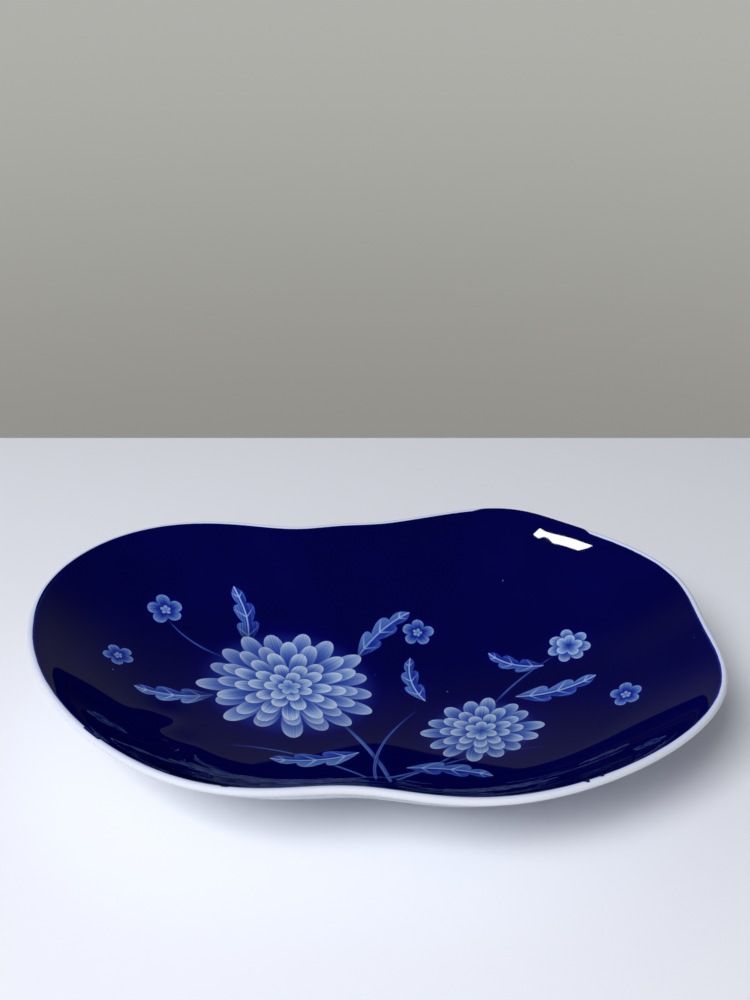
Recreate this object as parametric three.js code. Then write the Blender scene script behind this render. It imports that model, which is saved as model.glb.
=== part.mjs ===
// A free-form oval porcelain dish: a white shell pressed out of round into swells and waists,
// a cobalt glaze lining that stops at the white lip, and a low oval foot ring under the floor.
// Millimetres, +Z up. The dish stands on z = 0, centred on the origin, with its length along X.
import * as THREE from 'three';

// Overall size, over the lip.
const LENGTH = 300;
const WIDTH = 205;

// The well sags as one even curve from the mouth to its deepest point, which lies off centre.
// A band along the mouth is pulled up more steeply.
const SAG_DEPTH = 31.4;
const SAG_POWER = 1.92;
const WALL_DEPTH = 11.2;
const WALL_BAND = 40;
const WALL_POWER = 2;
const DEEPEST_X = 12;
const DEEPEST_Y = 7.4;

// The clay: thick in the floor, thinning to a half-round lip.
const FLOOR_THICKNESS = 5;
const LIP_THICKNESS = 3.2;
const FLOOR_LIFT = 4;

// The cobalt lining lies in a shallow rebate, so it ends flush with the lip.
const GLAZE_THICKNESS = 0.6;
const GLAZE_GAP = 0.3;

// The oval foot ring stands under the deepest point, on a flat ground pad.
const FOOT_LENGTH = 132;
const FOOT_WIDTH = 86;
const FOOT_WALL = 6;
const FOOT_PAD = 4;
const FOOT_GAP = 0.3;

// The mouth seen from above: a plain oval, pushed out into swells and in at waists.
// Each swell or waist has its height, its bearing round the dish and its spread, in degrees.
const OVAL_LENGTH = 261;
const OVAL_WIDTH = 220;
const SWELLS = [
  { height: -25.0, bearing: 88.7, spread: 17.9 },
  { height: 5.9, bearing: 55.6, spread: 7.4 },
  { height: -23.1, bearing: 120.3, spread: 13.9 },
  { height: 24.5, bearing: 2.3, spread: 26.8 },
  { height: -9.8, bearing: 3.7, spread: 9.1 },
  { height: 19.9, bearing: 162.5, spread: 23.6 },
  { height: -14.9, bearing: -90.8, spread: 17.1 },
];
const SWELL_FADE = 0.96;

// Facets round the dish, from the middle to the mouth, and over the lip.
const ROUND_STEPS = 72;
const WELL_STEPS = 12;
const LIP_STEPS = 6;

// Rounds in which a search settles: the fit to size, and the shell's underside over a point.
const FITTING_ROUNDS = 6;
const TURNING_ROUNDS = 8;
const HALVING_ROUNDS = 24;

const FLOOR_HEIGHT = FLOOR_LIFT + FLOOR_THICKNESS;

const porcelain = new THREE.MeshStandardMaterial({ color: 0xe8e9ee, roughness: 0.12, metalness: 0 });
const cobalt = new THREE.MeshStandardMaterial({ color: 0x06054a, roughness: 0.05, metalness: 0 });
const bareClay = new THREE.MeshStandardMaterial({ color: 0xd8d3c8, roughness: 0.75, metalness: 0 });

function bearingOf(step) {
  return ((step % ROUND_STEPS) / ROUND_STEPS) * 2 * Math.PI - Math.PI / 2;
}

function turned(bearing, radius) {
  return new THREE.Vector2(radius * Math.cos(bearing), radius * Math.sin(bearing));
}

function ovalRadius(bearing) {
  return 1 / Math.hypot(Math.cos(bearing) / (OVAL_LENGTH / 2), Math.sin(bearing) / (OVAL_WIDTH / 2));
}

function pressedRadius(bearing) {
  let radius = ovalRadius(bearing);
  for (const swell of SWELLS) {
    const turn = bearing - THREE.MathUtils.degToRad(swell.bearing);
    const spread = THREE.MathUtils.degToRad(swell.spread);
    radius += swell.height * Math.exp((Math.cos(turn) - 1) / spread ** 2);
  }
  return radius;
}

// Centring and stretching that bring the pressed outline to its size.
const fit = { centre: new THREE.Vector2(0, 0), stretch: new THREE.Vector2(1, 1) };

function mouthPoint(bearing) {
  return turned(bearing, pressedRadius(bearing)).multiply(fit.stretch).sub(fit.centre);
}

// A point of the glazed surface. share runs from 0 at the deepest point to 1 at the mouth.
// Swells and waists are full at the mouth and fade towards the middle.
function onWell(bearing, share) {
  const mouth = mouthPoint(bearing);
  const inset = (1 - share) * mouth.length();
  const band = Math.max(0, 1 - inset / WALL_BAND);
  const up = FLOOR_HEIGHT + SAG_DEPTH * share ** SAG_POWER + WALL_DEPTH * band ** WALL_POWER;
  const flat = turned(bearing, ovalRadius(bearing)).multiply(fit.stretch);
  flat.lerp(mouth, share ** SWELL_FADE).multiplyScalar(share);
  flat.addScaledVector(new THREE.Vector2(DEEPEST_X, DEEPEST_Y), 1 - share);
  return new THREE.Vector3(flat.x, flat.y, up);
}

// Directions at a point of the well: along its ring, square out of the glaze, and outward.
function headings(bearing, share) {
  const turn = 0.002;
  const step = 0.002;
  const from = Math.max(share, 2 * step);
  const along = onWell(bearing + turn, from).sub(onWell(bearing - turn, from)).normalize();
  const climb = onWell(bearing, from).sub(onWell(bearing, from - step));
  const square = climb.cross(along).normalize();
  return { square, outward: along.clone().cross(square) };
}

// A point of the clay: so deep below the glazed surface, and so far past the end of the well.
function inClay(bearing, point) {
  const spot = onWell(bearing, point.share);
  if (point.share === 0) return spot.setZ(spot.z - point.depth);
  const { square, outward } = headings(bearing, point.share);
  return spot.addScaledVector(square, -point.depth).addScaledVector(outward, point.past);
}

// The clay is thickest under the middle of the well.
function wallThickness(share) {
  return FLOOR_THICKNESS + (LIP_THICKNESS - FLOOR_THICKNESS) * share ** 2;
}

function wellShares() {
  return Array.from({ length: WELL_STEPS + 1 }, (unused, index) => index / WELL_STEPS);
}

// The half-round lip, from its outer foot over the top to the end of the glaze.
function lipSection() {
  const radius = LIP_THICKNESS / 2;
  return Array.from({ length: LIP_STEPS + 1 }, (unused, index) => {
    const turn = Math.PI * (1 - index / LIP_STEPS);
    return { share: 1, depth: radius * (1 - Math.cos(turn)), past: radius * Math.sin(turn) + GLAZE_GAP };
  });
}

// The shell, from under the middle outward, round the lip and back over the rebate.
function shellSection() {
  const rebate = GLAZE_THICKNESS + GLAZE_GAP;
  const underside = wellShares().map((share) => ({ share, depth: wallThickness(share), past: 0 }));
  const bed = wellShares().reverse().map((share) => ({ share, depth: rebate, past: 0 }));
  underside.pop();
  bed[0].past = GLAZE_GAP;
  return [...underside, ...lipSection(), ...bed];
}

function glazeSection() {
  const underside = wellShares().map((share) => ({ share, depth: GLAZE_THICKNESS, past: 0 }));
  const surface = wellShares().reverse().map((share) => ({ share, depth: 0, past: 0 }));
  return [...underside, ...surface];
}

// The outline is stretched and centred until the dish measures LENGTH by WIDTH over the lip.
function fitToSize() {
  const steps = Array.from({ length: ROUND_STEPS }, (unused, step) => step);
  const corners = steps.flatMap((step) => lipSection().map((point) => inClay(bearingOf(step), point)));
  const box = new THREE.Box3().setFromPoints(corners);
  const size = box.getSize(new THREE.Vector3());
  const middle = box.getCenter(new THREE.Vector3());
  const grown = new THREE.Vector2(LENGTH / size.x, WIDTH / size.y);
  fit.centre.add(new THREE.Vector2(middle.x, middle.y)).multiply(grown);
  fit.stretch.multiply(grown);
}
for (let round = 0; round < FITTING_ROUNDS; round++) fitToSize();

// One closed body: a section carried round the dish, each of its points set by a rule.
function carriedRound(section, place) {
  const order = section.map((point, index) => new THREE.Vector2(1, index));
  const geometry = new THREE.LatheGeometry(order, ROUND_STEPS);
  const position = geometry.getAttribute('position');
  for (let step = 0; step <= ROUND_STEPS; step++) {
    for (let index = 0; index < section.length; index++) {
      const spot = place(bearingOf(step), section[index]);
      position.setXYZ(step * section.length + index, spot.x, spot.y, spot.z);
    }
  }
  geometry.computeVertexNormals();
  return geometry;
}

// Height of the shell's underside over a point of the table. The search turns to the point's
// bearing round the deepest spot and halves the share until it stands under the shell there.
function undersideOver(x, y) {
  const goal = new THREE.Vector2(x - DEEPEST_X, y - DEEPEST_Y);
  let bearing = goal.angle();
  let spot;
  for (let turning = 0; turning < TURNING_ROUNDS; turning++) {
    let near = 0;
    let far = 1;
    for (let halving = 0; halving < HALVING_ROUNDS; halving++) {
      const share = (near + far) / 2;
      spot = inClay(bearing, { share, depth: wallThickness(share), past: 0 });
      const reach = Math.hypot(spot.x - DEEPEST_X, spot.y - DEEPEST_Y);
      if (reach < goal.length()) near = share;
      else far = share;
    }
    const found = new THREE.Vector2(spot.x - DEEPEST_X, spot.y - DEEPEST_Y);
    bearing += Math.atan2(found.cross(goal), found.dot(goal));
  }
  return spot.z;
}

// The foot ring: a flat pad between two small bevels, and walls that run up to the shell.
function footSection() {
  const bevel = (FOOT_WALL - FOOT_PAD) / 2;
  return [
    { inset: FOOT_WALL - bevel, up: 0 },
    { inset: bevel, up: 0 },
    { inset: 0, up: bevel },
    { inset: 0, up: null },
    { inset: FOOT_WALL, up: null },
    { inset: FOOT_WALL, up: bevel },
    { inset: FOOT_WALL - bevel, up: 0 },
  ];
}

function onFoot(bearing, point) {
  const x = DEEPEST_X + (FOOT_LENGTH / 2 - point.inset) * Math.cos(bearing);
  const y = DEEPEST_Y + (FOOT_WIDTH / 2 - point.inset) * Math.sin(bearing);
  const z = point.up === null ? undersideOver(x, y) - FOOT_GAP : point.up;
  return new THREE.Vector3(x, y, z);
}

function piece(name, geometry, material) {
  const mesh = new THREE.Mesh(geometry, material);
  mesh.name = name;
  return mesh;
}

const dish = new THREE.Group();
dish.add(piece('foot_ring', carriedRound(footSection(), onFoot), bareClay));
dish.add(piece('porcelain_shell', carriedRound(shellSection(), inClay), porcelain));
dish.add(piece('cobalt_glaze', carriedRound(glazeSection(), inClay), cobalt));

export default dish;
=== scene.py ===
import math

import bpy
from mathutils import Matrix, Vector
from mathutils.bvhtree import BVHTree


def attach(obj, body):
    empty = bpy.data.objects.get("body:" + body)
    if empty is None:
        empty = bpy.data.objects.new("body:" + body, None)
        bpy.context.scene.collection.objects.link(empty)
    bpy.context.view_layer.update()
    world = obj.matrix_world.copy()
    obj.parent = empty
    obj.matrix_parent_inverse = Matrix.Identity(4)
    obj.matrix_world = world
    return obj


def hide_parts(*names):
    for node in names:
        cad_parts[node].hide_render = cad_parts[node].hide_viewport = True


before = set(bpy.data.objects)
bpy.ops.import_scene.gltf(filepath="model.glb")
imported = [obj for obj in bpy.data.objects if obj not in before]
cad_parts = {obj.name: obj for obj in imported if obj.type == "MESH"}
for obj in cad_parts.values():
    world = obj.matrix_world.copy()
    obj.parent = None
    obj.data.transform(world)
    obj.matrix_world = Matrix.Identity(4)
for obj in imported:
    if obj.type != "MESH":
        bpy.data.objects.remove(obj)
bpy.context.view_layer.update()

scene = bpy.context.scene
scene.view_settings.view_transform = "Standard"

# White porcelain shell
# The shell is one body of white porcelain. It starts as an even oval and is pressed out of round
# while the clay is soft, so that the mouth swells and draws in. The rounded lip is left white
# under a clear glaze, with a little cobalt bled over its inner edge.
MM = 0.001
FLOOR_THICKNESS = 5.0
LIP_THICKNESS = 3.2
FLOOR_LIFT = 4.0
GLAZE_THICKNESS = 0.6
BED_GAP = 0.05
BED_DEPTH = GLAZE_THICKNESS + BED_GAP
GLAZE_GAP = 0.3
LIP_REACH = GLAZE_GAP + LIP_THICKNESS / 2
DEEPEST = (12.0, 7.4, 0.0)
# The pressed outline is stretched and centred, so that the lip comes out at its full size.
OUTLINE_STRETCH = (1.0003, 0.9986, 1.0)
OUTLINE_CENTRE = (0.04, 0.27, 0.0)
WELL_SIZES = {
    "Floor Height": FLOOR_LIFT + FLOOR_THICKNESS,
    "Sag Depth": 31.4,
    "Sag Power": 1.92,
    "Wall Depth": 11.15,
    "Wall Band": 40.0,
    "Wall Power": 2.0,
    "Flare": 0.8,
    "Flare Band": 5.0,
    "Oval Length": 261.0,
    "Oval Width": 220.0,
    "Swell Fade": 0.96,
}
# The front wall fades in and is full at these sines of the bearing.
FRONT_WALL = (0.3, -0.1)
# Each swell or waist of the mouth: height in millimetres, bearing and spread in degrees.
SWELLS = [
    (-25.0, 88.7, 17.9),
    (5.9, 55.6, 7.4),
    (-23.1, 120.3, 13.9),
    (24.5, 2.3, 26.8),
    (-9.8, 3.7, 9.1),
    (19.9, 162.5, 23.6),
    (-14.9, -90.8, 17.1),
]
ROUND_STEPS = 360
WELL_STEPS = 64
UNDER_STEPS = 28
LIP_STEPS = 20
# Rings lie closer towards the mouth, where the surface turns faster.
RING_CROWDING = 0.75
# Directions are taken between points so far apart, in radians and in shares of the way out.
NEARBY = 0.002
EDGE_ANGLE = math.radians(50)


def put(tree, kind, inputs=(), **settings):
    # One node, with its settings, and a value or a link for each input that is named.
    node = tree.nodes.new(kind)
    for setting, value in settings.items():
        setattr(node, setting, value)
    for key, value in dict(inputs).items():
        if isinstance(value, bpy.types.NodeSocket):
            tree.links.new(value, node.inputs[key])
        else:
            node.inputs[key].default_value = value
    return node


def maths(tree, operation, *values):
    return put(tree, "ShaderNodeMath", enumerate(values), operation=operation).outputs[0]


def vectors(tree, operation, *values):
    node = put(tree, "ShaderNodeVectorMath", enumerate(values), operation=operation)
    return node.outputs["Value" if operation in ("LENGTH", "DOT_PRODUCT") else "Vector"]


def across_and_along(tree, vector):
    # The first two parts of a vector. A shader's unused third part would fill Cycles' stack.
    return [vectors(tree, "DOT_PRODUCT", vector, axis) for axis in ((1, 0, 0), (0, 1, 0))]


def mask(tree, value, start, end):
    # 0 before start and 1 past end, with soft shoulders.
    return put(tree, "ShaderNodeMapRange", {
        "Value": value,
        "From Min": start,
        "From Max": end,
    }, interpolation_type="SMOOTHSTEP").outputs["Result"]


def add_socket(group, label, side, value):
    kinds = {float: "NodeSocketFloat", 3: "NodeSocketVector", 4: "NodeSocketColor"}
    if isinstance(value, str):
        group.interface.new_socket(label, in_out=side, socket_type=value)
        return
    kind = kinds[float] if isinstance(value, float) else kinds[len(value)]
    group.interface.new_socket(label, in_out=side, socket_type=kind).default_value = value


def new_group(name, kind, takes, gives):
    group = bpy.data.node_groups.new(name, kind)
    for label, value in takes.items():
        add_socket(group, label, "INPUT", value)
    for label, value in gives.items():
        add_socket(group, label, "OUTPUT", value)
    return group, group.nodes.new("NodeGroupInput").outputs


def give(tree, outputs):
    put(tree, "NodeGroupOutput", outputs)


def use(tree, group, **inputs):
    kind = "GeometryNodeGroup" if group.bl_idname == "GeometryNodeTree" else "ShaderNodeGroup"
    named = {label.replace("_", " "): value for label, value in inputs.items()}
    return put(tree, kind, named, node_tree=group).outputs


def swell_group():
    # The push of one swell or waist at a bearing: a bell round the dish.
    tree, given = new_group(
        "swell",
        "GeometryNodeTree",
        {"Bearing": 0.0, "Height": 0.0, "Middle": 0.0, "Spread": 20.0},
        {"Rise": 0.0},
    )
    turn = maths(tree, "SUBTRACT", given["Bearing"], maths(tree, "RADIANS", given["Middle"]))
    spread = maths(tree, "RADIANS", given["Spread"])
    lean = maths(tree, "SUBTRACT", maths(tree, "COSINE", turn), 1.0)
    bell = maths(tree, "EXPONENT", maths(tree, "DIVIDE", lean, maths(tree, "POWER", spread, 2.0)))
    give(tree, {"Rise": maths(tree, "MULTIPLY", given["Height"], bell)})
    return tree


def mouth_group(swell):
    # The even oval and the pressed mouth, as points seen from above.
    tree, given = new_group(
        "mouth line",
        "GeometryNodeTree",
        {"Bearing": 0.0, **{label: WELL_SIZES[label] for label in ("Oval Length", "Oval Width")}},
        {"Oval": (0.0, 0.0, 0.0), "Mouth": (0.0, 0.0, 0.0)},
    )
    ahead = put(tree, "ShaderNodeCombineXYZ", {
        "X": maths(tree, "COSINE", given["Bearing"]),
        "Y": maths(tree, "SINE", given["Bearing"]),
    }).outputs[0]
    reach = put(tree, "ShaderNodeCombineXYZ", {
        "X": maths(tree, "MULTIPLY", given["Oval Length"], 0.5),
        "Y": maths(tree, "MULTIPLY", given["Oval Width"], 0.5),
        "Z": 1.0,
    }).outputs[0]
    shrunk = vectors(tree, "LENGTH", vectors(tree, "DIVIDE", ahead, reach))
    oval_radius = maths(tree, "DIVIDE", 1.0, shrunk)
    radius = oval_radius
    for height, middle, spread in SWELLS:
        bell = use(tree, swell, Bearing=given["Bearing"], Height=height, Middle=middle, Spread=spread)
        radius = maths(tree, "ADD", radius, bell["Rise"])
    stretched = vectors(tree, "MULTIPLY", ahead, OUTLINE_STRETCH)
    mouth = vectors(tree, "MULTIPLY", stretched, radius)
    give(tree, {
        "Oval": vectors(tree, "MULTIPLY", stretched, oval_radius),
        "Mouth": vectors(tree, "SUBTRACT", mouth, OUTLINE_CENTRE),
    })
    return tree


def well_group(mouth_line):
    # A point of the glazed surface. Share runs from 0 at the deepest point to 1 at the mouth.
    tree, given = new_group(
        "well point",
        "GeometryNodeTree",
        {"Bearing": 0.0, "Share": 0.0, **WELL_SIZES},
        {"Point": (0.0, 0.0, 0.0), "Inset": 0.0},
    )
    line = use(
        tree,
        mouth_line,
        Bearing=given["Bearing"],
        Oval_Length=given["Oval Length"],
        Oval_Width=given["Oval Width"],
    )
    share = given["Share"]
    left = maths(tree, "SUBTRACT", 1.0, share)
    inset = maths(tree, "MULTIPLY", left, vectors(tree, "LENGTH", line["Mouth"]))

    def lift(size, reach, power):
        # A rise that grows with a power from so far inside the mouth.
        left_to_go = maths(tree, "DIVIDE", inset, reach)
        done = maths(tree, "MAXIMUM", maths(tree, "SUBTRACT", 1.0, left_to_go), 0.0)
        return maths(tree, "MULTIPLY", size, maths(tree, "POWER", done, power))

    sag = maths(tree, "MULTIPLY", given["Sag Depth"], maths(tree, "POWER", share, given["Sag Power"]))
    wall = lift(given["Wall Depth"], given["Wall Band"], given["Wall Power"])
    # The front stands up a little more steeply, and turns out again just inside the lip.
    front = mask(tree, maths(tree, "SINE", given["Bearing"]), *FRONT_WALL)
    flare = maths(tree, "MULTIPLY", given["Flare"], front)
    steeper = lift(flare, given["Wall Band"], given["Wall Power"])
    turned_out = lift(flare, given["Flare Band"], given["Wall Power"])
    height = maths(tree, "ADD", maths(tree, "ADD", given["Floor Height"], sag), wall)
    height = maths(tree, "ADD", height, maths(tree, "SUBTRACT", steeper, turned_out))
    pressed = maths(tree, "POWER", share, given["Swell Fade"])
    outline = vectors(tree, "ADD", line["Oval"], vectors(
        tree, "MULTIPLY", vectors(tree, "SUBTRACT", line["Mouth"], line["Oval"]), pressed,
    ))
    flat = vectors(
        tree, "ADD", vectors(tree, "MULTIPLY", outline, share), vectors(tree, "MULTIPLY", DEEPEST, left),
    )
    up = put(tree, "ShaderNodeCombineXYZ", {"Z": height}).outputs[0]
    give(tree, {"Point": vectors(tree, "ADD", flat, up), "Inset": inset})
    return tree


def pressed_dish_group(well_point):
    # Sets each point of a blank: so deep below the glazed surface, and so far past its end.
    tree, given = new_group(
        "pressed dish",
        "GeometryNodeTree",
        {"Blank": "NodeSocketGeometry", "Finish": "NodeSocketMaterial", **WELL_SIZES},
        {"Dish": "NodeSocketGeometry"},
    )
    sizes = {label.replace(" ", "_"): given[label] for label in WELL_SIZES}

    def marked(label):
        return put(tree, "GeometryNodeInputNamedAttribute", {"Name": label}).outputs["Attribute"]

    def spot(bearing, share):
        return use(tree, well_point, Bearing=bearing, Share=share, **sizes)

    bearing = marked("bearing")
    share = marked("share")
    off_axis = maths(tree, "MAXIMUM", share, 2 * NEARBY)
    here = spot(bearing, share)
    along = vectors(
        tree,
        "SUBTRACT",
        spot(maths(tree, "ADD", bearing, NEARBY), off_axis)["Point"],
        spot(maths(tree, "SUBTRACT", bearing, NEARBY), off_axis)["Point"],
    )
    climb = vectors(
        tree,
        "SUBTRACT",
        spot(bearing, off_axis)["Point"],
        spot(bearing, maths(tree, "SUBTRACT", off_axis, NEARBY))["Point"],
    )
    along = vectors(tree, "NORMALIZE", along)
    square = vectors(tree, "NORMALIZE", vectors(tree, "CROSS_PRODUCT", climb, along))
    outward = vectors(tree, "CROSS_PRODUCT", along, square)
    on_axis = maths(tree, "LESS_THAN", share, NEARBY)
    square = put(tree, "GeometryNodeSwitch", {
        "Switch": on_axis,
        "False": square,
        "True": (0.0, 0.0, 1.0),
    }, input_type="VECTOR").outputs[0]
    inwards = vectors(tree, "MULTIPLY", square, marked("depth"))
    place = vectors(tree, "SUBTRACT", here["Point"], inwards)
    place = vectors(tree, "ADD", place, vectors(tree, "MULTIPLY", outward, marked("past")))
    placed = put(tree, "GeometryNodeSetPosition", {
        "Geometry": given["Blank"],
        "Position": vectors(tree, "MULTIPLY", place, (MM, MM, MM)),
    }).outputs[0]
    stored = put(tree, "GeometryNodeStoreNamedAttribute", {
        "Geometry": placed,
        "Name": "inset",
        "Value": here["Inset"],
    }, data_type="FLOAT", domain="POINT").outputs[0]
    realized = put(tree, "GeometryNodeRealizeInstances", {"Geometry": stored}).outputs[0]
    finished = put(tree, "GeometryNodeSetMaterial", {
        "Geometry": realized,
        "Material": given["Finish"],
    }).outputs[0]
    give(tree, {"Dish": finished})
    return tree


pressed_dish = pressed_dish_group(well_group(mouth_group(swell_group())))


def ring_faces(rings, around, closed=False):
    # Quads between rings of points that are numbered step by step round the dish.
    faces = []
    for step in range(around):
        here = step * rings
        there = (step + 1) % around * rings
        for index in range(rings if closed else rings - 1):
            after = (index + 1) % rings
            faces.append((here + index, there + index, there + after, here + after))
    return faces


def smooth_mesh(name, verts, faces):
    mesh = bpy.data.meshes.new(name)
    mesh.from_pydata(verts, [], faces)
    mesh.polygons.foreach_set("use_smooth", [True] * len(mesh.polygons))
    return mesh


def blank(name, section):
    # An unpressed blank: a section of (share, depth, past) carried round, one point at each pole.
    ring = section[1:-1]
    bearings = [2 * math.pi * step / ROUND_STEPS for step in range(ROUND_STEPS)]
    marks = [(bearing, *point) for bearing in bearings for point in ring]
    faces = ring_faces(len(ring), ROUND_STEPS)
    bottom = len(marks)
    for step in range(ROUND_STEPS):
        here = step * len(ring)
        there = (step + 1) % ROUND_STEPS * len(ring)
        faces.append((bottom, there, here))
        faces.append((bottom + 1, here + len(ring) - 1, there + len(ring) - 1))
    marks += [(0.0, *section[0]), (0.0, *section[-1])]
    mesh = smooth_mesh(name, [(0, 0, 0)] * len(marks), faces)
    for label, values in zip(("bearing", "share", "depth", "past"), zip(*marks)):
        mesh.attributes.new(label, "FLOAT", "POINT").data.foreach_set("value", values)
    return mesh


def press(name, section, finish):
    # A blank pressed to shape, and made a plain mesh.
    piece = bpy.data.objects.new(name, blank(name, section))
    scene.collection.objects.link(piece)
    modifier = piece.modifiers.new("press", "NODES")
    modifier.node_group = pressed_dish
    chosen = {"Finish": finish, **WELL_SIZES}
    for socket in pressed_dish.interface.items_tree:
        if socket.in_out == "INPUT" and socket.name in chosen:
            modifier[socket.identifier] = chosen[socket.name]
    depsgraph = bpy.context.evaluated_depsgraph_get()
    mesh = bpy.data.meshes.new_from_object(
        piece.evaluated_get(depsgraph), preserve_all_data_layers=True, depsgraph=depsgraph
    )
    piece.modifiers.remove(modifier)
    mesh.name = name
    piece.data = mesh
    mesh.set_sharp_from_angle(angle=EDGE_ANGLE)
    return piece


def new_material(name, roughness):
    material = bpy.data.materials.new(name)
    material.use_nodes = True
    shader = material.node_tree.nodes["Principled BSDF"]
    shader.inputs["Roughness"].default_value = roughness
    return material, material.node_tree, shader


def object_millimetres(tree):
    where = put(tree, "ShaderNodeTexCoord").outputs["Object"]
    return vectors(tree, "MULTIPLY", where, (1 / MM, 1 / MM, 1 / MM))


def mix_colour(tree, factor, below, above):
    return put(tree, "ShaderNodeMix", {
        "Factor": factor,
        "A": below,
        "B": above,
    }, data_type="RGBA").outputs["Result"]


def noise(tree, where, size, detail=2.0):
    # Smooth noise from 0 to 1, its features about so many millimetres wide.
    scaled = vectors(tree, "MULTIPLY", where, (1 / size, 1 / size, 1 / size))
    return put(tree, "ShaderNodeTexNoise", {
        "Vector": scaled,
        "Scale": 1.0,
        "Detail": detail,
    }).outputs["Fac"]


CLOUD_SIZE = 38.0
CLOUD_EDGE = (0.3, 0.7)
RIPPLE_SIZE = 16.0
RIPPLE_HEIGHT = 0.00004


def kiln_glaze_group():
    # Fired glaze is never quite even: it clouds, and its skin ripples a little.
    tree, given = new_group(
        "kiln glaze", "ShaderNodeTree", {"Place": (0.0, 0.0, 0.0)}, {"Cloud": 0.0, "Ripple": 0.0}
    )
    cloud = mask(tree, noise(tree, given["Place"], CLOUD_SIZE), *CLOUD_EDGE)
    give(tree, {"Cloud": cloud, "Ripple": noise(tree, given["Place"], RIPPLE_SIZE, 0.0)})
    return tree


kiln_glaze = kiln_glaze_group()


def share_steps(count):
    return [(step / count) ** RING_CROWDING for step in range(count + 1)]


def wall_thickness(share):
    return FLOOR_THICKNESS + (LIP_THICKNESS - FLOOR_THICKNESS) * share ** 2


WHITE = (0.665, 0.695, 0.755, 1)
WHITE_SHADE = (0.63, 0.66, 0.725, 1)
WHITE_ROUGHNESS = 0.05
# Cobalt clouds the clear glaze on the side of the lip that faces the well, so many millimetres down.
INNER_TINT = (0.61, 0.68, 0.85, 1)
INNER_SIDE = 2.2
# Painted reflection: wherever the glaze mirrors the white porcelain, its colour is painted as dark as the
# room, so the far lip shows dark in the cobalt.
LIP_PAINTED_DARK_IN_REFLECTIONS = (0.02, 0.02, 0.022, 1)
COBALT = (0.0006, 0.0006, 0.064, 1)
BLEED = (0.012, 0.03, 0.30, 1)
# Places where the blue runs over the lip: bearing, half width and shoulder in degrees, and how far.
BLUE_RUNS = [
    (118.0, 57.0, 6.0, 0.28),
    (50.5, 11.5, 2.0, 1.5),
    (-145.2, 2.2, 0.2, 0.30),
    (-116.0, 0.7, 0.2, 0.25),
    (-47.1, 0.35, 0.2, 0.6),
    (-44.2, 0.3, 0.2, 0.25),
]
# Elsewhere the blue creeps this far onto the lip, wandering by so much over so many millimetres.
CREEP = 0.012
CREEP_WANDER = 0.02
CREEP_LENGTH = 7.0
CREEP_PATCHES = (0.4, 0.8)
# Where the blue ends on the lip, and where it pales before that, in millimetres from its end.
BLUE_END = (-0.01, 0.015)
BLUE_PALES = (-0.12, -0.02)


def white_glaze():
    material, tree, shader = new_material("white_porcelain", WHITE_ROUGHNESS)
    place = object_millimetres(tree)
    skin = use(tree, kiln_glaze, Place=place)
    colour = mix_colour(tree, skin["Cloud"], WHITE, WHITE_SHADE)
    depth = put(tree, "ShaderNodeAttribute", attribute_name="depth").outputs["Fac"]
    colour = mix_colour(tree, mask(tree, depth, 0.0, INNER_SIDE), INNER_TINT, colour)
    rightward, backward = across_and_along(tree, place)
    bearing = maths(tree, "DEGREES", maths(tree, "ARCTAN2", backward, rightward))
    patches = mask(tree, noise(tree, place, CREEP_LENGTH), *CREEP_PATCHES)
    reach = maths(tree, "ADD", maths(tree, "MULTIPLY", patches, CREEP_WANDER), CREEP)
    for middle, half, shoulder, far in BLUE_RUNS:
        away = maths(tree, "ABSOLUTE", maths(tree, "SUBTRACT", bearing, middle))
        run = maths(tree, "SUBTRACT", 1.0, mask(tree, away, half - shoulder, half + shoulder))
        reach = maths(tree, "ADD", reach, maths(tree, "MULTIPLY", run, far))
    past = maths(tree, "SUBTRACT", depth, reach)
    bled = maths(tree, "SUBTRACT", 1.0, mask(tree, past, *BLUE_END))
    blue = mix_colour(tree, mask(tree, past, *BLUE_PALES), COBALT, BLEED)
    colour = mix_colour(tree, bled, colour, blue)
    # Painted reflection: to glossy rays the white porcelain is painted near-black instead of its own
    # white.
    glossy = put(tree, "ShaderNodeLightPath").outputs["Is Glossy Ray"]
    colour = mix_colour(tree, glossy, colour, LIP_PAINTED_DARK_IN_REFLECTIONS)
    tree.links.new(colour, shader.inputs["Base Color"])
    bump = put(tree, "ShaderNodeBump", {
        "Height": skin["Ripple"],
        "Strength": 1.0,
        "Distance": RIPPLE_HEIGHT,
    })
    tree.links.new(bump.outputs["Normal"], shader.inputs["Normal"])
    return material


underside = [(share, wall_thickness(share), 0.0) for share in share_steps(UNDER_STEPS)]
lip = []
for step in range(LIP_STEPS + 1):
    turn = math.pi * (1 - step / LIP_STEPS)
    lip.append((1.0, LIP_THICKNESS / 2 * (1 - math.cos(turn)), LIP_REACH * math.sin(turn)))
bed = [(share, BED_DEPTH, 0.0) for share in reversed(share_steps(UNDER_STEPS))]
shell = press("white_shell", underside[:-1] + lip + bed, white_glaze())
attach(shell, "root")
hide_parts("porcelain_shell")

# Cobalt glaze lining
# The well is lined with a thick, glossy cobalt glaze. It pools dark over the floor and thins to
# a brighter blue line where it meets the white lip. A spray of chrysanthemums is brushed under
# the glaze in white slip, thin where the cobalt shows through and thick on the petals' tips.
GLAZE_CLOUD = (0.78, 0.8, 0.84)
GLAZE_ROUGHNESS = 0.02
# Two shallow dents left by the maker's fingers: middle, depth and reach in millimetres.
DENTS = [((-86, -28), 1.3, 8.0), ((-76, -48), 1.1, 8.0)]
# The glaze sagged into faint ridges along the front of the lip, so high in metres. They fade in at
# these parts of the way frontward, and fade out at these distances from the mouth in millimetres.
RIM_RIDGES = 0.0006
RIDGES_FRONT = (0.45, 0.8)
RIDGES_FADE = (4.0, 14.0)
RIDGES_ROUND = 1.6
RIDGES_INWARD = 0.22
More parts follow.
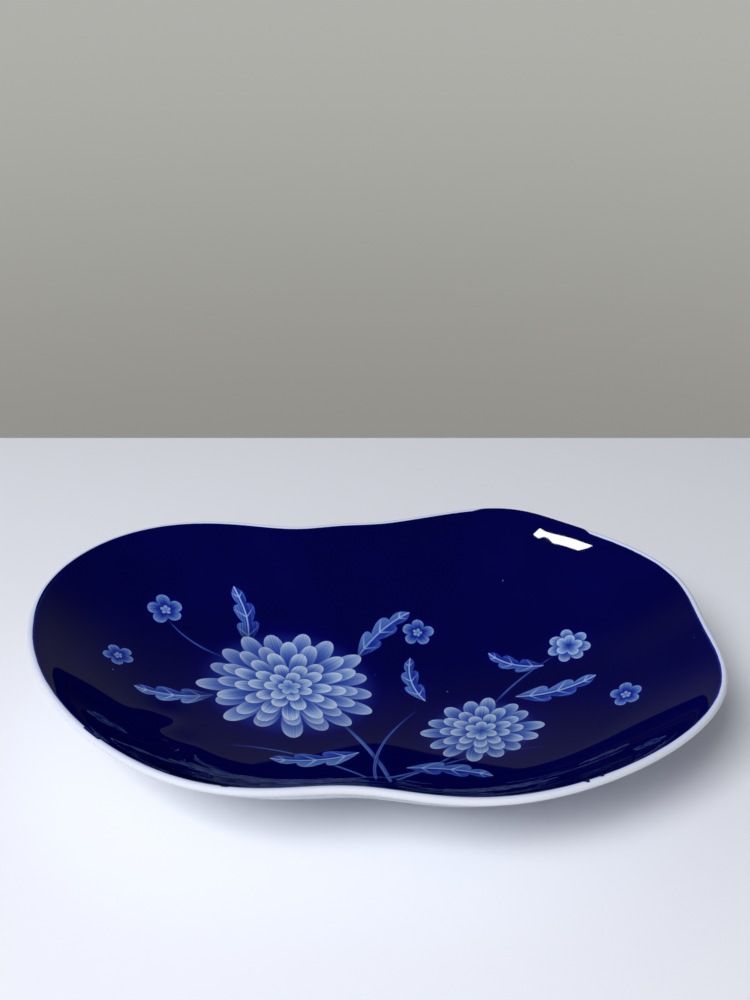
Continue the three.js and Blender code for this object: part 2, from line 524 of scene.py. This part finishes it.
# At the mouth the glaze is thin, over a band of uneven width, but not along the back.
THIN_GLAZE = (0.006, 0.02, 0.26, 1)
THIN_WIDTH = (0.1, 1.4)
THIN_LENGTH = 6.0
THIN_FRONT = (-0.35, 0.1)
# Gas left a few pinholes: at most one in each cell, in patches, and so wide in millimetres.
PINHOLE = (0.10, 0.15, 0.50, 1)
PINHOLE_CELL = 17.0
PINHOLE_SIZE = 0.35
PINHOLE_EDGE = (-0.1, 0.15)
PINHOLE_LEAST = (0.05, 0.2)
PINHOLE_PATCH = 20.0
PINHOLE_PATCHES = (0.58, 0.75)
# The slip from a thin wash to a full brush: how thick it lies, and the colour it fires to.
SLIP_TONES = [
    (0.0, (0.0012, 0.0004, 0.10, 1)),
    (0.26, (0.013, 0.032, 0.36, 1)),
    (0.5, (0.09, 0.20, 0.56, 1)),
    (0.74, (0.29, 0.43, 0.71, 1)),
    (1.0, (0.58, 0.69, 0.84, 1)),
]
HALO = (0.001, 0.0003, 0.10, 1)
BRUSH_EDGE = 0.45
# Hairs of the brush, to the millimetre of width, and how a streak wavers along the stroke.
HAIRS = 1.6
HAIR_WAVER = 0.2
HAIR_TURNS = 0.4
HAIR_CONTRAST = (0.32, 0.68)


def slip_group():
    tree, given = new_group("slip", "ShaderNodeTree", {"Tone": 0.5}, {"Colour": (0.0, 0.0, 0.0, 1.0)})
    ramp = put(tree, "ShaderNodeValToRGB", {"Fac": given["Tone"]})
    stops = ramp.color_ramp.elements
    while len(stops) < len(SLIP_TONES):
        stops.new(0.5)
    for stop, (tone, colour) in zip(stops, SLIP_TONES):
        stop.position = tone
        stop.color = colour
    give(tree, {"Colour": ramp.outputs["Color"]})
    return tree


# These give each petal its own length and lean, and each stroke its own streaks.
SCATTER_PITCH = 12.9898
SCATTER_REACH = 437.585
LEAN_SEED = 3.7
STROKE_SHIFT = 17.3


def chance(tree, seed):
    # A number from 0 to 1 that is scattered evenly over the seeds.
    wave = maths(tree, "SINE", maths(tree, "MULTIPLY", seed, SCATTER_PITCH))
    return maths(tree, "FRACT", maths(tree, "MULTIPLY", wave, SCATTER_REACH))


def hairs_group():
    # Streaks that the hairs of the brush leave along a stroke.
    tree, given = new_group(
        "brush hairs",
        "ShaderNodeTree",
        {"Along": 0.0, "Aside": 0.0, "Stroke": 0.0},
        {"Streak": 0.0},
    )
    waver = maths(tree, "SINE", maths(tree, "MULTIPLY", given["Along"], HAIR_TURNS))
    waver = maths(tree, "MULTIPLY", waver, HAIR_WAVER)
    where = maths(tree, "ADD", maths(tree, "MULTIPLY", given["Aside"], HAIRS), waver)
    where = maths(tree, "ADD", where, maths(tree, "MULTIPLY", given["Stroke"], STROKE_SHIFT))
    streaks = put(tree, "ShaderNodeTexNoise", {
        "W": where,
        "Scale": 1.0,
        "Detail": 3.0,
    }, noise_dimensions="1D")
    give(tree, {"Streak": mask(tree, streaks.outputs["Fac"], *HAIR_CONTRAST)})
    return tree


slip = slip_group()
hairs = hairs_group()


# Petals: how far neighbours overlap, how much one may be short or lean, the tone of a petal along
# and across, and the shade that a ring casts on the slip under it.
PETAL_FULLNESS = 2.75
PETAL_SHORT = 0.14
PETAL_LEAN = 0.26
PETAL_BLUNT = 4.0
PETAL_TIP_TONE = 1.2
PETAL_EDGE_TONE = 0.3
PETAL_STREAKS = 0.2
PETAL_RIM = (0.86, 1.0)
RING_SHADE = (0.86, 1.22)


def petal_ring_group():
    # A ring of petals round a middle. Each is one stroke, of its own length and lean.
    tree, given = new_group(
        "petal ring",
        "ShaderNodeTree",
        {
            "Colour": (0.0, 0.0, 0.0, 1.0),
            "Place": (0.0, 0.0, 0.0),
            "Middle": (0.0, 0.0, 0.0),
            "Stretch": (1.0, 1.0, 1.0),
            "Reach": 30.0,
            "Root": 8.0,
            "Count": 15.0,
            "Turn": 0.0,
            "Wash": 0.1,
            "Full": 1.0,
            "Shade": (0.0, 0.0, 0.1, 1.0),
            "Shade Depth": 0.7,
        },
        {"Colour": (0.0, 0.0, 0.0, 1.0)},
    )
    offset = vectors(tree, "SUBTRACT", given["Place"], given["Middle"])
    offset = vectors(tree, "DIVIDE", offset, given["Stretch"])
    radius = vectors(tree, "LENGTH", offset)
    near = maths(tree, "DIVIDE", radius, given["Reach"])
    under = maths(tree, "SUBTRACT", 1.0, mask(tree, near, *RING_SHADE))
    under = maths(tree, "MULTIPLY", under, given["Shade Depth"])
    ground = mix_colour(tree, under, given["Colour"], given["Shade"])
    rightward, backward = across_and_along(tree, offset)
    bearing = maths(tree, "ARCTAN2", backward, rightward)
    bearing = maths(tree, "ADD", bearing, maths(tree, "RADIANS", given["Turn"]))
    pace = maths(tree, "DIVIDE", 2 * math.pi, given["Count"])
    sector = maths(tree, "DIVIDE", bearing, pace)
    number = maths(tree, "ROUND", sector)
    own = maths(tree, "ADD", maths(tree, "FLOORED_MODULO", number, given["Count"]), given["Reach"])
    reach = maths(tree, "SUBTRACT", 1.0, maths(tree, "MULTIPLY", chance(tree, own), PETAL_SHORT))
    reach = maths(tree, "MULTIPLY", given["Reach"], reach)
    from_root = maths(tree, "SUBTRACT", radius, given["Root"])
    share = maths(tree, "DIVIDE", from_root, maths(tree, "SUBTRACT", reach, given["Root"]))
    share = put(tree, "ShaderNodeClamp", {"Value": share}).outputs[0]
    swing = chance(tree, maths(tree, "ADD", own, LEAN_SEED))
    swing = maths(tree, "MULTIPLY", maths(tree, "SUBTRACT", swing, 0.5), PETAL_LEAN)
    swing = maths(tree, "MULTIPLY", swing, share)
    aside = maths(tree, "ADD", maths(tree, "SUBTRACT", sector, number), swing)
    aside = maths(tree, "MULTIPLY", maths(tree, "MULTIPLY", aside, pace), radius)
    width = maths(tree, "DIVIDE", maths(tree, "MULTIPLY", given["Reach"], PETAL_FULLNESS), given["Count"])
    blunt = maths(tree, "SUBTRACT", 1.0, maths(tree, "POWER", share, PETAL_BLUNT))
    profile = maths(tree, "SQRT", maths(tree, "MULTIPLY", share, blunt))
    half = maths(tree, "MULTIPLY", width, profile)
    away = maths(tree, "ABSOLUTE", aside)
    inside = mask(tree, maths(tree, "SUBTRACT", half, away), 0.0, BRUSH_EDGE)
    across = maths(tree, "DIVIDE", away, maths(tree, "MAXIMUM", half, 0.1))
    streak = use(tree, hairs, Along=radius, Aside=aside, Stroke=own)["Streak"]
    tone = maths(tree, "POWER", share, PETAL_TIP_TONE)
    edge_tone = maths(tree, "MULTIPLY", maths(tree, "POWER", across, 2.0), PETAL_EDGE_TONE)
    tone = maths(tree, "ADD", tone, edge_tone)
    tone = maths(tree, "SUBTRACT", tone, maths(tree, "MULTIPLY", streak, PETAL_STREAKS))
    span = maths(tree, "SUBTRACT", given["Full"], given["Wash"])
    tone = maths(tree, "ADD", maths(tree, "MULTIPLY", tone, span), given["Wash"])
    rim = mask(tree, across, *PETAL_RIM)
    tone = maths(tree, "SUBTRACT", tone, maths(tree, "MULTIPLY", rim, PETAL_EDGE_TONE))
    petal = use(tree, slip, Tone=tone)["Colour"]
    give(tree, {"Colour": mix_colour(tree, inside, ground, petal)})
    return tree


# Leaves: lobes on each side, how deep and how round the notches between them are, how far the
# lobes lean to the tip, and the veins. Then the tone across a stroke, and its halo in the cobalt.
LEAF_LOBES = 3.0
NOTCH_DEPTH = 0.62
NOTCH_ROUND = 0.7
LOBE_LEAN = 1.1
RIB_WIDTH = (0.1, 0.55)
VEIN_WIDTH = (0.05, 0.22)
VEIN_TONE = 0.5
STROKE_EDGE_TONE = 0.4
STROKE_EDGE_POWER = 1.5
STROKE_LIT_SIDE = 0.35
STROKE_STREAKS = 0.35
HALO_REACH = 2.2
HALO_TONE = 0.6
HALO_ENDS = 0.03


def stroke_group():
    # One curved stroke from a root: a stem, a blade, or a leaf with lobes and veins.
    tree, given = new_group(
        "brush stroke",
        "ShaderNodeTree",
        {
            "Colour": (0.0, 0.0, 0.0, 1.0),
            "Place": (0.0, 0.0, 0.0),
            "Root": (0.0, 0.0, 0.0),
            "Turn": 0.0,
            "Length": 30.0,
            "Bend": 0.0,
            "Width": 6.0,
            "Swell": 0.5,
            "Taper": 0.6,
            "Leafy": 0.0,
            "Wash": 0.2,
            "Full": 0.7,
        },
        {"Colour": (0.0, 0.0, 0.0, 1.0)},
    )
    laid = put(tree, "ShaderNodeVectorRotate", {
        "Vector": vectors(tree, "SUBTRACT", given["Place"], given["Root"]),
        "Angle": maths(tree, "RADIANS", maths(tree, "MULTIPLY", given["Turn"], -1.0)),
    }, rotation_type="Z_AXIS").outputs[0]
    along, rise = across_and_along(tree, laid)
    share = maths(tree, "DIVIDE", along, given["Length"])
    share = put(tree, "ShaderNodeClamp", {"Value": share}).outputs[0]
    left = maths(tree, "SUBTRACT", 1.0, share)
    arch = maths(tree, "MULTIPLY", maths(tree, "MULTIPLY", share, left), 4.0)
    sag = maths(tree, "MULTIPLY", given["Bend"], arch)
    aside = maths(tree, "SUBTRACT", rise, sag)
    away = maths(tree, "ABSOLUTE", aside)
    swelling = maths(tree, "POWER", share, given["Swell"])
    tapering = maths(tree, "POWER", left, given["Taper"])
    half = maths(tree, "MULTIPLY", maths(tree, "MULTIPLY", swelling, tapering), given["Width"])
    back = maths(tree, "MULTIPLY", maths(tree, "DIVIDE", away, given["Length"]), LOBE_LEAN)
    beat = maths(tree, "MULTIPLY", maths(tree, "SUBTRACT", share, back), LEAF_LOBES * math.pi)
    lobe = maths(tree, "POWER", maths(tree, "ABSOLUTE", maths(tree, "SINE", beat)), NOTCH_ROUND)
    notch = maths(tree, "SUBTRACT", 1.0, lobe)
    notch = maths(tree, "MULTIPLY", notch, maths(tree, "MULTIPLY", given["Leafy"], NOTCH_DEPTH))
    outline = maths(tree, "MULTIPLY", half, maths(tree, "SUBTRACT", 1.0, notch))
    inside = mask(tree, maths(tree, "SUBTRACT", outline, away), 0.0, BRUSH_EDGE)
    across = maths(tree, "DIVIDE", away, maths(tree, "MAXIMUM", outline, 0.1))
    rib = maths(tree, "SUBTRACT", 1.0, mask(tree, away, *RIB_WIDTH))
    from_vein = maths(tree, "ABSOLUTE", maths(tree, "COSINE", beat))
    vein = maths(tree, "SUBTRACT", 1.0, mask(tree, from_vein, *VEIN_WIDTH))
    vein = maths(tree, "MULTIPLY", vein, maths(tree, "SUBTRACT", 1.0, across))
    vein_tone = maths(tree, "MULTIPLY", given["Leafy"], VEIN_TONE)
    drawn = maths(tree, "MULTIPLY", maths(tree, "MAXIMUM", rib, vein), vein_tone)
    streak = use(tree, hairs, Along=along, Aside=aside, Stroke=given["Turn"])["Streak"]
    lit = maths(tree, "MULTIPLY", mask(tree, aside, -1.0, 1.0), STROKE_LIT_SIDE)
    tone = maths(tree, "MULTIPLY", maths(tree, "POWER", across, STROKE_EDGE_POWER), STROKE_EDGE_TONE)
    tone = maths(tree, "ADD", tone, lit)
    gaps = maths(tree, "MULTIPLY", maths(tree, "SUBTRACT", 1.0, streak), STROKE_STREAKS)
    tone = maths(tree, "ADD", tone, gaps)
    span = maths(tree, "SUBTRACT", given["Full"], given["Wash"])
    tone = maths(tree, "ADD", maths(tree, "MULTIPLY", tone, span), given["Wash"])
    tone = maths(tree, "ADD", tone, drawn)
    outside = maths(tree, "SUBTRACT", away, outline)
    halo = maths(tree, "SUBTRACT", 1.0, mask(tree, outside, 0.0, HALO_REACH))
    ends = mask(tree, maths(tree, "MULTIPLY", share, left), 0.0, HALO_ENDS)
    halo = maths(tree, "MULTIPLY", maths(tree, "MULTIPLY", halo, ends), HALO_TONE)
    ground = mix_colour(tree, halo, given["Colour"], HALO)
    give(tree, {"Colour": mix_colour(tree, inside, ground, use(tree, slip, Tone=tone)["Colour"])})
    return tree


petal_ring = petal_ring_group()
stroke = stroke_group()

# Stems: root, turn, length, bend, half width.
STEMS = [
    ((12, -64), 122, 78, -7, 1.5),
    ((10, -60), 44, 52, -5, 1.3),
    ((44, -30), 50, 74, 8, 1.0),
    ((-60, 18), 150, 46, 5, 0.9),
]
# Leaves: root, turn, length, bend, half width, fullness of the slip.
LEAVES = [
    ((-2, -38), 196, 38, 3, 13, 0.62),
    ((18, -50), -14, 36, 3, 12, 0.55),
    ((-58, 30), 108, 34, -3, 12, 0.50),
    ((-68, -8), 190, 34, 3, 12, 0.66),
    ((-6, 30), 48, 36, 3, 12, 0.58),
    ((66, 0), 8, 36, -3, 12, 0.60),
    ((80, 18), 152, 28, 3, 10, 0.48),
    ((26, 2), 104, 30, 3, 10, 0.52),
]
# Blades of grass: root, turn, length, bend, half width.
BLADES = [
    ((6, -62), 74, 60, 7, 1.1),
    ((14, -62), 20, 66, 8, 1.0),
    ((2, -60), 164, 62, -8, 1.0),
]
# Blooms: middle, reach, stretch, turn, and the rings from the outside in. A ring has its reach and
# root as shares of the bloom's reach, its number of petals, and its thinnest and fullest slip.
FULL_BLOOM = [
    (1.0, 0.25, 17, 0.10, 0.86),
    (0.82, 0.22, 16, 0.12, 0.92),
    (0.64, 0.15, 13, 0.16, 0.97),
    (0.46, 0.08, 10, 0.22, 1.0),
    (0.29, 0.02, 7, 0.30, 1.0),
    (0.14, 0.0, 5, 0.45, 0.9),
]
SIDE_BLOOM = [
    (1.0, 0.2, 14, 0.10, 0.84),
    (0.76, 0.15, 12, 0.14, 0.94),
    (0.53, 0.08, 9, 0.20, 1.0),
    (0.30, 0.0, 6, 0.35, 1.0),
]
BUD = [
    (1.0, 0.0, 7, 0.12, 0.80),
    (0.62, 0.0, 5, 0.25, 0.95),
]
BLOSSOM = [
    (1.0, 0.12, 5, 0.10, 0.66),
    (0.3, 0.0, 5, 0.5, 0.8),
]
BLOOMS = [
    ((-36, 6), 40, (1.06, 0.94), 10, FULL_BLOOM),
    ((50, -22), 27, (1.0, 0.92), 31, SIDE_BLOOM),
    ((92, 28), 12, (0.9, 1.0), 20, BUD),
    ((-98, 42), 9, (1.0, 1.0), 50, BLOSSOM),
    ((22, 46), 8, (1.0, 1.0), 5, BLOSSOM),
    ((112, -12), 7.5, (1.0, 1.0), 75, BLOSSOM),
    ((-112, 4), 7, (1.0, 1.0), 30, BLOSSOM),
]

# The slip of stems and blades, the leaves' thinnest slip, and the shade under a bloom's outer ring
# and under its inner rings. Each ring is turned on by its share of this many degrees.
STEM_WASH = 0.2
STEM_FULL = 0.66
STEM_SWELL = 0.12
STEM_TAPER = 0.5
LEAF_WASH = 0.12
BLOOM_SHADE = 0.75
INNER_SHADE = 0.5
RING_TURN = 200


def painted_spray(tree, colour, place):
    for (x, y), turn, length, bend, width in STEMS + BLADES:
        colour = use(
            tree, stroke, Colour=colour, Place=place, Root=(x, y, 0), Turn=turn, Length=length,
            Bend=bend, Width=width, Swell=STEM_SWELL, Taper=STEM_TAPER, Wash=STEM_WASH,
            Full=STEM_FULL,
        )["Colour"]
    for (x, y), turn, length, bend, width, full in LEAVES:
        colour = use(
            tree, stroke, Colour=colour, Place=place, Root=(x, y, 0), Turn=turn, Length=length,
            Bend=bend, Width=width, Leafy=1.0, Wash=LEAF_WASH, Full=full,
        )["Colour"]
    for (x, y), reach, (wide, deep), turn, rings in BLOOMS:
        shade, shade_depth = HALO, BLOOM_SHADE
        for far, root, count, wash, full in rings:
            colour = use(
                tree, petal_ring, Colour=colour, Place=place, Middle=(x, y, 0), Stretch=(wide, deep, 1),
                Reach=far * reach, Root=root * reach, Count=count, Turn=turn + far * RING_TURN,
                Wash=wash, Full=full, Shade=shade, Shade_Depth=shade_depth,
            )["Colour"]
            shade, shade_depth = SLIP_TONES[1][1], INNER_SHADE
    return colour


def cobalt_glaze():
    material, tree, shader = new_material("cobalt_glaze", GLAZE_ROUGHNESS)
    place = object_millimetres(tree)
    skin = use(tree, kiln_glaze, Place=place)
    from_above = vectors(tree, "MULTIPLY", place, (1, 1, 0))
    painted = painted_spray(tree, COBALT, from_above)
    clouded = vectors(tree, "MULTIPLY", painted, GLAZE_CLOUD)
    colour = mix_colour(tree, skin["Cloud"], painted, clouded)
    inset = put(tree, "ShaderNodeAttribute", attribute_name="inset").outputs["Fac"]
    least, wander = THIN_WIDTH
    width = maths(tree, "MULTIPLY", noise(tree, place, THIN_LENGTH), wander)
    thin = mask(tree, inset, 0.0, maths(tree, "ADD", width, least))
    thin = maths(tree, "SUBTRACT", 1.0, thin)
    around = vectors(tree, "NORMALIZE", from_above)
    frontward = vectors(tree, "DOT_PRODUCT", around, (0, -1, 0))
    thin = maths(tree, "MULTIPLY", thin, mask(tree, frontward, *THIN_FRONT))
    colour = mix_colour(tree, thin, colour, THIN_GLAZE)
    patches = mask(tree, noise(tree, place, PINHOLE_PATCH), *PINHOLE_PATCHES)
    pit_size = maths(tree, "MULTIPLY", patches, PINHOLE_SIZE)
    cells = put(tree, "ShaderNodeTexVoronoi", {
        "Vector": vectors(tree, "DIVIDE", place, (PINHOLE_CELL, PINHOLE_CELL, PINHOLE_CELL)),
        "Scale": 1.0,
    }, voronoi_dimensions="2D")
    from_pit = maths(tree, "MULTIPLY", cells.outputs["Distance"], PINHOLE_CELL)
    from_pit = maths(tree, "SUBTRACT", from_pit, pit_size)
    pit = maths(tree, "SUBTRACT", 1.0, mask(tree, from_pit, *PINHOLE_EDGE))
    pit = maths(tree, "MULTIPLY", pit, mask(tree, pit_size, *PINHOLE_LEAST))
    colour = mix_colour(tree, pit, colour, PINHOLE)
    tree.links.new(colour, shader.inputs["Base Color"])
    inward = maths(tree, "MULTIPLY", inset, RIDGES_INWARD)
    inward = put(tree, "ShaderNodeCombineXYZ", {"Z": inward}).outputs[0]
    drawn_out = vectors(tree, "MULTIPLY", around, (RIDGES_ROUND, RIDGES_ROUND, 0))
    ridges = noise(tree, vectors(tree, "ADD", drawn_out, inward), 1.0, 0.0)
    near_lip = maths(tree, "SUBTRACT", 1.0, mask(tree, inset, *RIDGES_FADE))
    drawn = maths(tree, "MULTIPLY", near_lip, mask(tree, frontward, *RIDGES_FRONT))
    drawn = maths(tree, "MULTIPLY", ridges, drawn)
    height = maths(tree, "MULTIPLY", skin["Ripple"], RIPPLE_HEIGHT)
    height = maths(tree, "ADD", height, maths(tree, "MULTIPLY", drawn, RIM_RIDGES))
    for (x, y), depth, reach in DENTS:
        away = vectors(tree, "SUBTRACT", from_above, (x, y, 0))
        away = maths(tree, "DIVIDE", vectors(tree, "LENGTH", away), reach)
        bell = maths(tree, "EXPONENT", maths(tree, "MULTIPLY", maths(tree, "POWER", away, 2.0), -1.0))
        height = maths(tree, "SUBTRACT", height, maths(tree, "MULTIPLY", bell, depth * MM))
    bump = put(tree, "ShaderNodeBump", {"Height": height, "Strength": 1.0, "Distance": 1.0})
    tree.links.new(bump.outputs["Normal"], shader.inputs["Normal"])
    return material


underlay = [(share, GLAZE_THICKNESS, 0.0) for share in share_steps(UNDER_STEPS)]
surface = [(share, 0.0, 0.0) for share in reversed(share_steps(WELL_STEPS))]
lining = press("cobalt_lining", underlay + surface, cobalt_glaze())
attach(lining, "root")
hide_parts("cobalt_glaze")

# Foot ring
# A low oval ring of the same clay is luted under the floor. The clear glaze runs down its sides
# and stops above the ground pad, which is left bare so that it won't stick to the kiln shelf.
FOOT_LENGTH = 132.0
FOOT_WIDTH = 86.0
FOOT_WALL = 6.0
FOOT_BEVEL = 1.0
FILLET = 2.0
CORNER_STEPS = 6
FOOT_STEPS = 240
# The ring's head is luted this deep into the floor.
SUNK = 0.4
CLAY = (0.68, 0.64, 0.57, 1)
CLAY_SHADE = (0.55, 0.50, 0.43, 1)
CLAY_ROUGHNESS = 0.85
FOOT_GLAZE_ROUGHNESS = 0.09
GRIT_SIZE = 0.6
GRIT_EDGE = (0.35, 0.75)
GRIT_HEIGHT = 0.00005
GRIT_STRENGTH = 0.5
# The glaze ends at a line this high, wandering by so much over so many millimetres.
GLAZE_LINE = 0.6
GLAZE_LINE_WANDER = 0.9
GLAZE_LINE_LENGTH = 5.0
GLAZE_LINE_EDGE = (-0.05, 0.1)


def foot_section():
    # From the pad's outer edge up the outside and down the inside: inset from the outer face,
    # height, and whether that height is measured from the shell's underside.
    outside = []
    fillet = []
    for step in range(CORNER_STEPS + 1):
        turn = math.pi / 2 * step / CORNER_STEPS
        outside.append((FOOT_BEVEL * (1 - math.sin(turn)), FOOT_BEVEL * (1 - math.cos(turn)), False))
        fillet.append((-FILLET * (1 - math.cos(turn)), -FILLET * (1 - math.sin(turn)), True))
    outside += fillet + [(-FILLET, SUNK, True)]
    return outside + [(FOOT_WALL - inset, up, hung) for inset, up, hung in reversed(outside)]


def foot_mesh():
    under = BVHTree.FromPolygons(
        [vertex.co for vertex in shell.data.vertices],
        [tuple(face.vertices) for face in shell.data.polygons],
    )
    section = foot_section()
    verts = []
    for step in range(FOOT_STEPS):
        bearing = 2 * math.pi * step / FOOT_STEPS
        for inset, up, hung in section:
            x = (DEEPEST[0] + (FOOT_LENGTH / 2 - inset) * math.cos(bearing)) * MM
            y = (DEEPEST[1] + (FOOT_WIDTH / 2 - inset) * math.sin(bearing)) * MM
            ceiling = under.ray_cast(Vector((x, y, 0)), Vector((0, 0, 1)))[0].z if hung else 0
            verts.append((x, y, ceiling + up * MM))
    return smooth_mesh("foot", verts, ring_faces(len(section), FOOT_STEPS, closed=True))


def foot_finish():
    material, tree, shader = new_material("foot_glaze_and_clay", CLAY_ROUGHNESS)
    place = object_millimetres(tree)
    skin = use(tree, kiln_glaze, Place=place)
    glazed = mix_colour(tree, skin["Cloud"], WHITE, WHITE_SHADE)
    grit = mask(tree, noise(tree, place, GRIT_SIZE), *GRIT_EDGE)
    bare = mix_colour(tree, grit, CLAY, CLAY_SHADE)
    height = put(tree, "ShaderNodeSeparateXYZ", {"Vector": place}).outputs["Z"]
    line = maths(tree, "MULTIPLY", noise(tree, place, GLAZE_LINE_LENGTH), GLAZE_LINE_WANDER)
    line = maths(tree, "ADD", line, GLAZE_LINE)
    above = mask(tree, maths(tree, "SUBTRACT", height, line), *GLAZE_LINE_EDGE)
    tree.links.new(mix_colour(tree, above, bare, glazed), shader.inputs["Base Color"])
    smoother = maths(tree, "MULTIPLY", above, CLAY_ROUGHNESS - FOOT_GLAZE_ROUGHNESS)
    rough = maths(tree, "SUBTRACT", CLAY_ROUGHNESS, smoother)
    tree.links.new(rough, shader.inputs["Roughness"])
    bump = put(tree, "ShaderNodeBump", {
        "Height": grit,
        "Strength": GRIT_STRENGTH,
        "Distance": GRIT_HEIGHT,
    })
    tree.links.new(bump.outputs["Normal"], shader.inputs["Normal"])
    return material


foot = bpy.data.objects.new("foot", foot_mesh())
scene.collection.objects.link(foot)
foot.data.materials.append(foot_finish())
foot.data.set_sharp_from_angle(angle=EDGE_ANGLE)
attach(foot, "root")
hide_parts("foot_ring")

# Stage
# The dish stands on a pale table top against a plain grey backdrop, in soft light from the front
# left. The glaze mirrors a dark room, with the lit backdrop low behind the dish.
CAMERA_HEADING = math.radians(2.11)
CAMERA_PITCH = math.radians(30.584)
FOCAL_PIXELS = 1180.0
SENSOR_HEIGHT = 24.0
FRAME_HEIGHT = 1000.0
MOUTH_HEIGHT = 51.6
CAMERA_PLACE = (18.4, -411.2, 307.4 + MOUTH_HEIGHT)
camera_data = bpy.data.cameras.new("camera")
camera_data.sensor_fit = "VERTICAL"
camera_data.sensor_height = SENSOR_HEIGHT
camera_data.lens = SENSOR_HEIGHT * FOCAL_PIXELS / FRAME_HEIGHT
camera_data.clip_start = 0.01
camera = bpy.data.objects.new("camera", camera_data)
camera.location = Vector(CAMERA_PLACE) * MM
heading = Vector((-math.sin(CAMERA_HEADING), math.cos(CAMERA_HEADING), 0))
sight = heading * math.cos(CAMERA_PITCH) + Vector((0, 0, -math.sin(CAMERA_PITCH)))
camera.rotation_euler = sight.to_track_quat("-Z", "Y").to_euler()
scene.collection.objects.link(camera)
scene.camera = camera

TABLE_PAINT = (0.86, 0.885, 0.95, 1)
TABLE_ROUGHNESS = 0.7
TABLE_DEPTH = 1.4
TABLE_REACH = 1.0
# The camera sees the table's back edge so far below the horizon.
TABLE_EDGE_PITCH = math.radians(27.576)
foot_of_camera = Vector((camera.location.x, camera.location.y, 0))
edge = foot_of_camera + heading * (camera.location.z / math.tan(TABLE_EDGE_PITCH))
side = Vector((heading.y, -heading.x, 0)) * TABLE_REACH
front = edge - heading * TABLE_DEPTH
corners = [front - side, front + side, edge + side, edge - side]
table = bpy.data.objects.new("table_top", smooth_mesh("table_top", corners, [(0, 1, 2, 3)]))
scene.collection.objects.link(table)
painted_board, _, board_shader = new_material("table_top", TABLE_ROUGHNESS)
board_shader.inputs["Base Color"].default_value = TABLE_PAINT
table.data.materials.append(painted_board)

LAMP_DISTANCE = 1.5
# Soft boxes: bearing and height in degrees, width and depth in metres, and power in watts. The
# first lights the dish, and the second shows in the glaze.
KEY_LAMP = (-118, 50, 0.55, 0.5, 17.7)
GLINT_LAMP = (-155.35, 55.06, 0.058, 0.064, 0.3)


def soft_box(name, bearing, height, width, depth, energy):
    # A square-cornered soft box that faces the dish.
    lamp_data = bpy.data.lights.new(name, "AREA")
    lamp_data.shape = "RECTANGLE"
    lamp_data.size = width
    lamp_data.size_y = depth
    lamp_data.energy = energy
    lamp = bpy.data.objects.new(name, lamp_data)
    around = math.radians(bearing)
    lift = math.radians(height)
    toward = Vector((
        math.cos(around) * math.cos(lift),
        math.sin(around) * math.cos(lift),
        math.sin(lift),
    ))
    lamp.location = toward * LAMP_DISTANCE
    lamp.rotation_euler = (-toward).to_track_quat("-Z", "Y").to_euler()
    lamp.visible_camera = False
    scene.collection.objects.link(lamp)
    return lamp


key_lamp = soft_box("key_lamp", *KEY_LAMP)
key_lamp.visible_glossy = False
glint_lamp = soft_box("glint_lamp", *GLINT_LAMP)
glint_lamp.visible_diffuse = False

ROOM_LIGHT = (0.46, 0.45, 0.47, 1)
ROOM_SHADE = (0.04, 0.038, 0.046, 1)
ROOM_SHADE_SIDE = (0.85, 0.53, 0.0)
ROOM_SHADE_EDGE = (-0.4, 0.7)
ROOM_DARK = (0.016, 0.015, 0.018, 1)
# The backdrop's glow in the glaze fades out sideways and upwards between these angles.
BACKDROP_GLOW = (0.115, 0.11, 0.105, 1)
GLOW_SIDEWAYS = (math.radians(20), math.radians(55))
GLOW_UPWARDS = (math.radians(8), math.radians(55))
# Seen by the camera, the backdrop is paler upwards, between these angles to the horizon.
BACKDROP_LOW = (0.285, 0.28, 0.26, 1)
BACKDROP_HIGH = (0.44, 0.44, 0.415, 1)
BACKDROP_RISE = (math.radians(-30), math.radians(-5))


def studio_world():
    world = bpy.data.worlds.new("studio")
    world.use_nodes = True
    tree = world.node_tree
    direction = put(tree, "ShaderNodeTexCoord").outputs["Generated"]
    parts = put(tree, "ShaderNodeSeparateXYZ", {"Vector": direction}).outputs
    sideways = maths(tree, "ABSOLUTE", maths(tree, "ARCTAN2", parts["X"], parts["Y"]))
    width = maths(tree, "SUBTRACT", 1.0, mask(tree, sideways, *GLOW_SIDEWAYS))
    rise = maths(tree, "ARCSINE", parts["Z"])
    low = maths(tree, "SUBTRACT", 1.0, mask(tree, rise, *GLOW_UPWARDS))
    glow = maths(tree, "MULTIPLY", width, low)
    mirrored = mix_colour(tree, glow, ROOM_DARK, BACKDROP_GLOW)
    ray = put(tree, "ShaderNodeLightPath").outputs
    away_from_light = vectors(tree, "DOT_PRODUCT", direction, ROOM_SHADE_SIDE)
    shaded = mask(tree, away_from_light, *ROOM_SHADE_EDGE)
    soft = mix_colour(tree, shaded, ROOM_LIGHT, ROOM_SHADE)
    colour = mix_colour(tree, ray["Is Glossy Ray"], soft, mirrored)
    backdrop = mix_colour(tree, mask(tree, rise, *BACKDROP_RISE), BACKDROP_LOW, BACKDROP_HIGH)
    colour = mix_colour(tree, ray["Is Camera Ray"], colour, backdrop)
    background = tree.nodes["Background"]
    tree.links.new(colour, background.inputs["Color"])
    return world


scene.world = studio_world()
